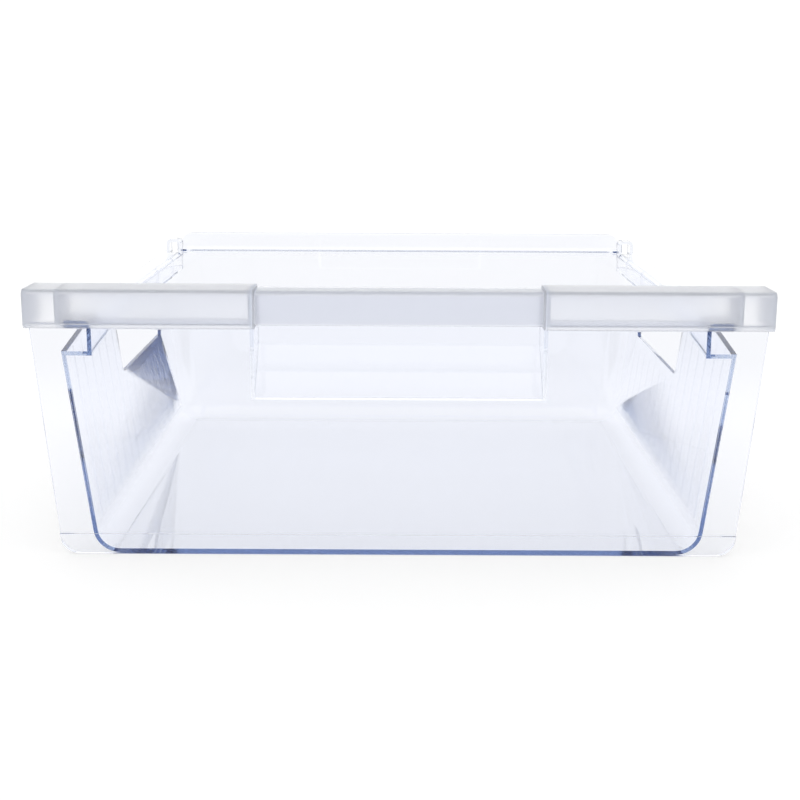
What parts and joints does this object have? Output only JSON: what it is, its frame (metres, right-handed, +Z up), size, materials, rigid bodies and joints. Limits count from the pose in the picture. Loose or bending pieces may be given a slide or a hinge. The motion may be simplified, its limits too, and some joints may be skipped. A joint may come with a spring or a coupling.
{
  "type": "freezer drawer",
  "caption": "Clear moulded freezer drawer with a wide stepped handle rail, a recessed finger grip, side runner grooves and side hand windows.",
  "frame": {"origin": "middle of the footprint box, at the level of the floor's underside", "axes": "+Z up, the front plate and handle rail face -Y, +X to the right as seen from the front"},
  "size_m": [0.454, 0.38, 0.168],
  "materials": {
    "clear_plastic": "clear with a faint blue tint, glossy; handle rail slightly hazy"
  },
  "bodies": {
    "root": {"drawer": "clear_plastic"}
  },
  "joints": []
}
